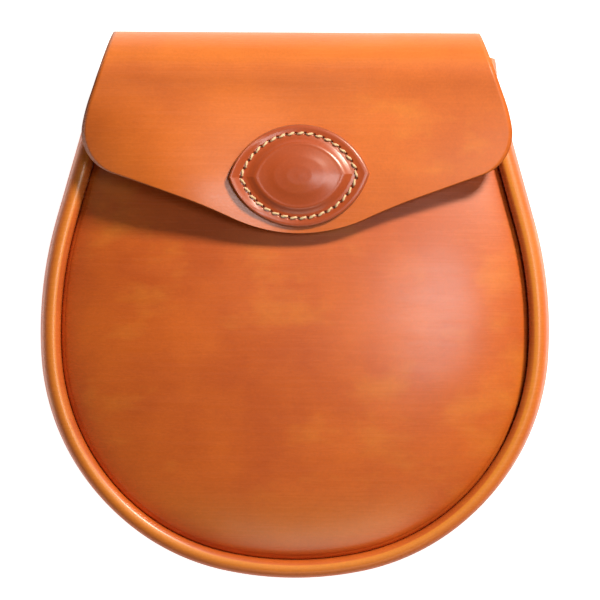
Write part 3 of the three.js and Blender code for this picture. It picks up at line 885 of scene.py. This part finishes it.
def make_patch(sizes):
    count = 520
    ring = patch_outline(count)
    scales = np.concatenate([np.linspace(1, 0.9, 12), np.linspace(0.89, 0.56, 62),
                             np.linspace(0.54, 0, 24)])
    # Inside the boss the rings lose their points and become round.
    angle = np.arctan2(ring[:, 1] * PATCH["length"], ring[:, 0] * PATCH["height"])
    rounded = np.stack([np.cos(angle) * PATCH["length"], np.sin(angle) * PATCH["height"]], 1) / 2
    pointed = smooth(scales, BOSS_SCALE - 0.14, BOSS_SCALE + 0.04)[:, None, None]
    rings = ring[None] * pointed + rounded[None] * (1 - pointed) * 0.9
    flat = rings * scales[:, None, None] + PATCH_MIDDLE[None, None, :2]
    seat = patch_seat(flat[..., 0], flat[..., 1], sizes) + SEAT_GAP
    table_scale = [row["scale"] for row in PATCH_RELIEF]
    table_height = [row["height"] for row in PATCH_RELIEF]
    fine = np.linspace(0, 1, 401)
    relief = np.interp(fine, table_scale, table_height)
    kernel = np.hanning(15)
    relief = np.convolve(np.pad(relief, 7, mode="edge"), kernel / kernel.sum(), mode="valid")
    height = np.interp(scales, fine, relief)[:, None] + 0 * seat
    holes = stitch_holes(sizes)
    near = np.full(seat.shape, 1e9)
    for hole in holes:
        near = np.minimum(near, np.hypot(flat[..., 0] - hole[0], flat[..., 1] - hole[1]))
    pit = np.exp(-(near / (sizes.hole / MM * 0.5)) ** 4)
    height -= PIT_DEPTH * pit
    # The margin at the left end curls up off the flap.
    left_end = smooth(PATCH_MIDDLE[0] - flat[..., 0], 11, 23)
    height += CURL_HEIGHT * left_end * np.clip((scales[:, None] - 0.87) / 0.13, 0, 1)
    outer = np.concatenate([flat, (seat + height)[..., None]], -1)
    inner = np.concatenate([flat, seat[..., None]], -1)
    # The stitch holes are sunk, and their dye is darkened with painted shade.
    patch = {"outer": outer, "inner": inner, "mark": pit,
             "faces": grid_faces(len(scales), count, wrap=True)}
    made = leather_object("flap_patch_leather", [patch], leather_set("patch"))
    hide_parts("flap_patch")
    up = np.array([0.0, 0.0, 1.0])
    surface = float(np.interp(STITCH_SCALE, fine, relief))
    stitches = []
    for here, there in zip(holes, np.roll(holes, -1, axis=0)):
        run = there - here
        outward = np.array([run[1], -run[0]]) / np.linalg.norm(run)
        ends = []
        for point, slant in ((here, STITCH_SLANT), (there, -STITCH_SLANT)):
            x, y = point + outward * slant
            z = patch_seat(np.array(x), np.array(y), sizes) + SEAT_GAP + surface
            ends.append(np.array([x, y, float(z)]))
        inset = (ends[1] - ends[0]) * STITCH_INSET
        stitches.append((ends[0] + inset, ends[1] - inset, up, 0.34))
    thread_stitches("patch_stitches", stitches, sizes.thread / MM)


def stitch_holes(sizes):
    """Awl holes spaced evenly round the stitch line."""
    ring = patch_outline(2400) * STITCH_SCALE + PATCH_MIDDLE[:2]
    steps = np.linalg.norm(np.roll(ring, -1, axis=0) - ring, axis=1)
    travelled = np.concatenate([[0], np.cumsum(steps)])
    closed = np.concatenate([ring, ring[:1]])
    marks = np.arange(sizes.stitches) * travelled[-1] / sizes.stitches
    return np.stack([np.interp(marks, travelled, closed[:, k]) for k in (0, 1)], 1)


# Half section of the stud, bottom to top: radius, and height from its middle.
STUD_THICKNESS = 4.7
STUD_PROFILE = (
    {"radius": 5.2, "height": -2.35},
    {"radius": 5.9, "height": -2.05},
    {"radius": 6.0, "height": -1.2},
    {"radius": 5.5, "height": -0.9},
    {"radius": 5.5, "height": 0.9},
    {"radius": 6.0, "height": 1.2},
    {"radius": 5.9, "height": 2.05},
    {"radius": 5.2, "height": 2.35},
)


def make_stud():
    """A plain brass press stud between dome and flap, turned from a short profile."""
    middle = (STUD_LOW + STUD_HIGH) / 2
    size = STUD_HIGH - STUD_LOW
    tilt = -math.atan((size[2] - STUD_THICKNESS) / size[1])
    sides = 48
    angles = np.linspace(0, 2 * math.pi, sides, endpoint=False)
    points = []
    for row in STUD_PROFILE:
        x, y = row["radius"] * np.cos(angles), row["radius"] * np.sin(angles)
        points.append(np.stack([
            middle[0] + x,
            middle[1] + y * math.cos(tilt) - row["height"] * math.sin(tilt),
            middle[2] + y * math.sin(tilt) + row["height"] * math.cos(tilt)], 1))
    faces = grid_faces(len(STUD_PROFILE), sides, wrap=True).tolist()
    top = (len(STUD_PROFILE) - 1) * sides
    faces += [list(reversed(range(sides))), list(range(top, top + sides))]
    mesh = bpy.data.meshes.new("press_stud_brass")
    mesh.from_pydata((np.concatenate(points) * MM).tolist(), [], faces)
    mesh.polygons.foreach_set("use_smooth", [len(p.vertices) == 4 for p in mesh.polygons])
    turn_outward(mesh)
    made = finished("press_stud_brass", mesh, [satin_brass("press_stud_brass")])
    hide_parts("press_stud")


BOX_STITCH = {"along": 22.9, "width": 16.0, "length": 6.0, "pitch": 3.2, "thread": 0.75}


def make_belt_loop(name):
    """A strap of leather sewn down at both ends, raised between them for the belt."""
    low, high = box_mm(name)
    middle = (low + high) / 2
    along_y = np.array([row["along"] for row in LOOP_SECTION])
    heights = np.array([row["height"] for row in LOOP_SECTION])
    place = np.linspace(along_y[0], along_y[-1], 109)
    height = np.interp(place, along_y, heights)
    kernel = np.hanning(9)
    eased = np.convolve(np.pad(height, 4, mode="edge"), kernel / kernel.sum(), mode="valid")
    d, z = offset(place[None], eased[None], -LOOP_LEATHER)
    across = np.linspace(low[0], high[0], 23)
    outer = np.stack(np.broadcast_arrays(
        across[None], middle[1] + place[:, None], eased[:, None]), -1)
    inner = np.stack(np.broadcast_arrays(across[None], middle[1] + d.T, z.T), -1)
    strap = {"outer": outer.copy(), "inner": inner.copy(), "mark": np.zeros(outer.shape[:2]),
             "faces": grid_faces(len(place), len(across))}
    made = leather_object(name + "_leather", [strap], leather_set())
    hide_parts(name)
    stitches = []
    down = np.array([0.0, 0.0, -1.0])
    for end in (-1, 1):
        centre = np.array([middle[0], middle[1] + end * BOX_STITCH["along"],
                           LOOP_SECTION[0]["height"]])
        for a, b in box_stitches(BOX_STITCH["width"] / 2, BOX_STITCH["length"] / 2):
            run = np.array([*(b - a), 0.0])
            gap = run * 0.14
            start = centre + np.array([*a, 0.0]) + gap
            finish = centre + np.array([*b, 0.0]) - gap
            stitches.append((start, finish, down, 0.28))
    thread_stitches(name + "_stitches", stitches, BOX_STITCH["thread"])


def box_stitches(half_width, half_length):
    """Pairs of hole places round a rectangle."""
    corners = np.array([(-1, -1), (1, -1), (1, 1), (-1, 1)]) * (half_width, half_length)
    pairs = []
    for a, b in zip(corners, np.roll(corners, -1, axis=0)):
        count = max(1, round(float(np.linalg.norm(b - a)) / BOX_STITCH["pitch"]))
        marks = [a + (b - a) * k / count for k in range(count + 1)]
        pairs += list(zip(marks, marks[1:]))
    return pairs


# --- Stage ---------------------------------------------------------------------------------------
LAMPS = (
    {"name": "key_lamp", "azimuth": 52, "elevation": 37, "size": (0.2, 0.2), "power": 17.5,
     "colour": "#fff4e2"},
    {"name": "right_softbox", "azimuth": 16, "elevation": 69, "size": (0.34, 0.34), "power": 2.9,
     "colour": "#ffffff"},
    {"name": "low_fill", "azimuth": -80, "elevation": 40, "size": (0.7, 0.45), "power": 1.9,
     "colour": "#fff2e0"},
)
LAMP_DISTANCE = 1.2
AIM_HEIGHT = 0.03
CAMERA_PLACE = (0.0018, 0.0015, 1.6)
CAMERA_TURN = 0.3               # degrees
VIEW_WIDTH = 0.2184             # metres seen across, level with AIM_HEIGHT
SENSOR = 36.0


def area_light(name, target, azimuth, elevation, size, power, colour):
    """A soft box aimed at the pouch: azimuth from +X towards +Y, elevation above the floor."""
    a, e = math.radians(azimuth), math.radians(elevation)
    away = Vector((math.cos(e) * math.cos(a), math.cos(e) * math.sin(a), math.sin(e)))
    data = bpy.data.lights.new(name, "AREA")
    data.shape = "RECTANGLE"
    data.size, data.size_y = size
    data.energy = power
    data.color = linear(colour)[:3]
    light = bpy.data.objects.new(name, data)
    bpy.context.scene.collection.objects.link(light)
    light.location = target + away * LAMP_DISTANCE
    light.rotation_euler = away.to_track_quat("Z", "Y").to_euler()
    return light


def make_stage():
    scene = bpy.context.scene
    low, high = CAD_BOX
    middle = (low + high) / 2
    floor_mesh = bpy.data.meshes.new("studio_floor")
    half = 3.0
    floor_mesh.from_pydata([(-half, -half, 0), (half, -half, 0), (half, half, 0), (-half, half, 0)],
                           [], [(0, 1, 2, 3)])
    floor = bpy.data.objects.new("studio_floor", floor_mesh)
    scene.collection.objects.link(floor)
    floor.location.z = low.z - 0.0002
    material, tree = new_material("matt_white_paper")
    shader = add(tree, "ShaderNodeBsdfPrincipled",
                 {"Base Color": linear("#c8c8c8"), "Roughness": 0.9, "Specular IOR Level": 0.1,
                  "Emission Color": linear("#ffffff"), "Emission Strength": 0.97})
    add(tree, "ShaderNodeOutputMaterial", {"Surface": shader.outputs[0]})
    floor_mesh.materials.append(material)

    world = bpy.data.worlds.new("studio_air")
    scene.world = world
    world.use_nodes = True
    world.node_tree.nodes.clear()
    direction = add(world.node_tree, "ShaderNodeTexCoord").outputs["Generated"]
    height = add(world.node_tree, "ShaderNodeSeparateXYZ", {0: direction})
    glow = add(world.node_tree, "ShaderNodeMapRange",
               {"Value": height.outputs["Z"], "From Min": 0.0, "From Max": 0.9,
                "To Min": 0.24, "To Max": 0.02})
    back = add(world.node_tree, "ShaderNodeBackground",
               {"Color": linear("#ffffff"), "Strength": glow.outputs[0]})
    add(world.node_tree, "ShaderNodeOutputWorld", {"Surface": back.outputs[0]})

    target = Vector((middle.x, middle.y, AIM_HEIGHT))
    for lamp in LAMPS:
        area_light(target=target, **lamp)

    camera_data = bpy.data.cameras.new("camera")
    camera = bpy.data.objects.new("camera", camera_data)
    scene.collection.objects.link(camera)
    camera_data.sensor_width = SENSOR
    camera_data.lens = SENSOR * (CAMERA_PLACE[2] - AIM_HEIGHT) / VIEW_WIDTH
    camera.location = CAMERA_PLACE
    camera.rotation_euler.z = math.radians(CAMERA_TURN)
    scene.camera = camera
    scene.view_settings.view_transform = "Standard"


# --- Operators -----------------------------------------------------------------------------------
class SPORRAN_OT_stage(Operator):
    """Floor, soft light and camera"""
    bl_idname = "sporran.stage"
    bl_label = "Stage"

    def execute(self, context):
        make_stage()
        return {"FINISHED"}


class SPORRAN_OT_back_and_flap(Operator):
    """Back panel, fold and flap in one piece of leather"""
    bl_idname = "sporran.back_and_flap"
    bl_label = "Back and flap"

    def execute(self, context):
        make_back_and_flap(context.scene.sporran_sizes)
        return {"FINISHED"}


class SPORRAN_OT_front_panel(Operator):
    """Moulded front panel with its edge turned into the seam"""
    bl_idname = "sporran.front_panel"
    bl_label = "Front panel"

    def execute(self, context):
        make_front_panel(context.scene.sporran_sizes)
        return {"FINISHED"}


class SPORRAN_OT_gusset(Operator):
    """Gusset with its rolled edges"""
    bl_idname = "sporran.gusset"
    bl_label = "Gusset"

    def execute(self, context):
        make_gusset(context.scene.sporran_sizes)
        return {"FINISHED"}


class SPORRAN_OT_patch(Operator):
    """Moulded patch, its stitches and their holes"""
    bl_idname = "sporran.patch"
    bl_label = "Patch and stitches"

    def execute(self, context):
        make_patch(context.scene.sporran_sizes)
        return {"FINISHED"}


class SPORRAN_OT_press_stud(Operator):
    """Brass press stud under the flap"""
    bl_idname = "sporran.press_stud"
    bl_label = "Press stud"

    def execute(self, context):
        make_stud()
        return {"FINISHED"}


class SPORRAN_OT_belt_loops(Operator):
    """Two belt loops on the back, with their stitches"""
    bl_idname = "sporran.belt_loops"
    bl_label = "Belt loops"

    def execute(self, context):
        for name in ("belt_loop_left", "belt_loop_right"):
            make_belt_loop(name)
        return {"FINISHED"}


class SPORRAN_PT_panel(Panel):
    """Lists the pieces, sizes and colours of the pouch"""
    bl_idname = "SPORRAN_PT_panel"
    bl_label = "Sporran pouch"
    bl_space_type = "VIEW_3D"
    bl_region_type = "UI"
    bl_category = "Sporran"

    def draw(self, context):
        for operator in OPERATORS:
            self.layout.operator(operator.bl_idname)
        for group in (context.scene.sporran_sizes, context.scene.sporran_colours):
            for name in group.__annotations__:
                self.layout.prop(group, name)


OPERATORS = (SPORRAN_OT_stage, SPORRAN_OT_back_and_flap, SPORRAN_OT_front_panel, SPORRAN_OT_gusset,
             SPORRAN_OT_patch, SPORRAN_OT_press_stud, SPORRAN_OT_belt_loops)
CLASSES = (SporranSizes, SporranColours, *OPERATORS, SPORRAN_PT_panel)


def register():
    for each in CLASSES:
        bpy.utils.register_class(each)
    bpy.types.Scene.sporran_sizes = PointerProperty(type=SporranSizes)
    bpy.types.Scene.sporran_colours = PointerProperty(type=SporranColours)


def unregister():
    del bpy.types.Scene.sporran_colours
    del bpy.types.Scene.sporran_sizes
    for each in reversed(CLASSES):
        bpy.utils.unregister_class(each)


def main():
    register()
    bpy.ops.sporran.stage()
    bpy.ops.sporran.back_and_flap()
    bpy.ops.sporran.front_panel()
    bpy.ops.sporran.gusset()
    bpy.ops.sporran.patch()
    bpy.ops.sporran.press_stud()
    bpy.ops.sporran.belt_loops()


if __name__ == "__main__":
    main()
